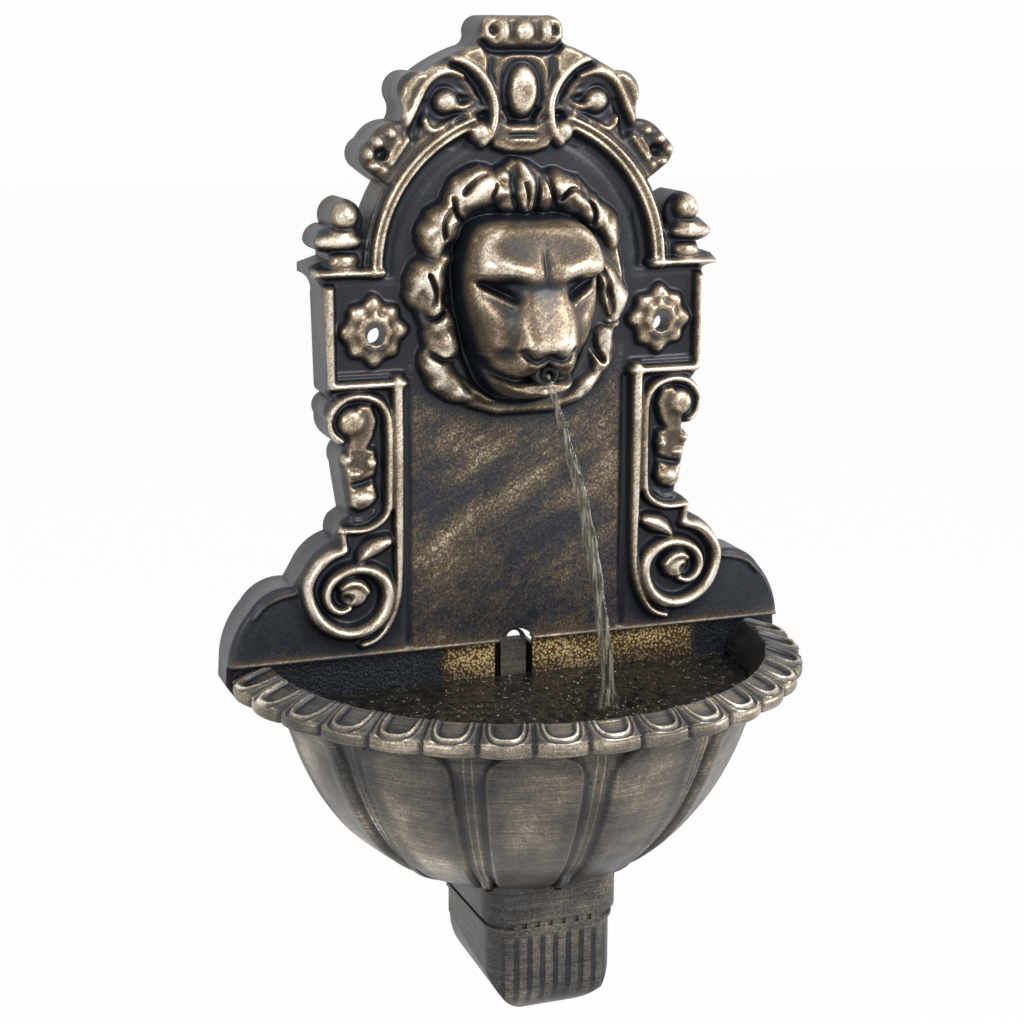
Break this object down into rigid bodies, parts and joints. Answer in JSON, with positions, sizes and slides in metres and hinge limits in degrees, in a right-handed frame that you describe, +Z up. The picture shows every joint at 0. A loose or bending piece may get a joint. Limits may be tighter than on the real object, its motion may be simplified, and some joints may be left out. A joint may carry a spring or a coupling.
{
  "type": "garden wall fountain",
  "caption": "Wall fountain with an arched relief plate, a lion's head spout, a half-round scalloped basin on a corbel, and a small submersible pump with its hose.",
  "frame": {"origin": "on the wall plane, midway between the two screw holes", "axes": "+X to the viewer's right, +Y into the wall, +Z up"},
  "size_m": [0.4806, 0.26, 0.7882],
  "materials": {
    "relief": "antique bronze finish, rubbed bright on the high points, dark in the hollows",
    "bowl": "antique bronze finish with fine level brush marks and pale worn edges",
    "screws": "plain stainless",
    "nozzle": "black moulded plastic",
    "hose": "black soft tube, slightly glossy",
    "clips": "black moulded plastic",
    "pump": "black moulded plastic, semi gloss",
    "seals": "black soft rubber",
    "laminations": "stacked sheet steel",
    "winding": "enamelled copper wire",
    "magnet": "bonded ferrite and moulded plastic",
    "shaft": "polished white ceramic",
    "knob": "blue-black moulded plastic",
    "water": "dark rippled water, drawn only in the look"
  },
  "bodies": {
    "fountain": {"back_plate": "relief", "basin": "bowl", "corbel": "bowl", "basin_screw_left": "screws", "basin_screw_right": "screws", "corbel_screw_upper": "screws", "corbel_screw_lower": "screws", "spout_nozzle": "nozzle", "hose": "hose", "hose_clip_lower": "clips", "hose_clip_upper": "clips", "pump_housing": "pump", "motor_lid": "pump", "cable_gland": "seals", "stator_core": "laminations", "stator_coil": "winding", "rotor_shaft": "shaft", "shaft_bush_rear": "seals", "shaft_bush_front": "seals", "impeller_cover": "pump", "outlet_adapter": "pump", "outlet_seal": "seals", "suction_cup_front_left": "seals", "suction_cup_back_left": "seals", "suction_cup_front_right": "seals", "suction_cup_back_right": "seals"},
    "rotor": {"rotor": "magnet"},
    "strainer": {"strainer_cover": "pump"},
    "regulator": {"flow_regulator": "knob"}
  },
  "joints": [
    {"name": "rotor_spin", "type": "hinge", "parent": "fountain", "child": "rotor", "pos_m": [0, -0.061, -0.4185], "axis": [1, 0, 0], "continuous": true},
    {"name": "strainer_slide", "type": "slide", "parent": "fountain", "child": "strainer", "axis": [1, 0, 0], "range_m": [0, 0.03]},
    {"name": "regulator_turn", "type": "hinge", "parent": "strainer", "child": "regulator", "pos_m": [0.03, -0.064, -0.4185], "axis": [1, 0, 0], "range_deg": [0, 90]}
  ]
}
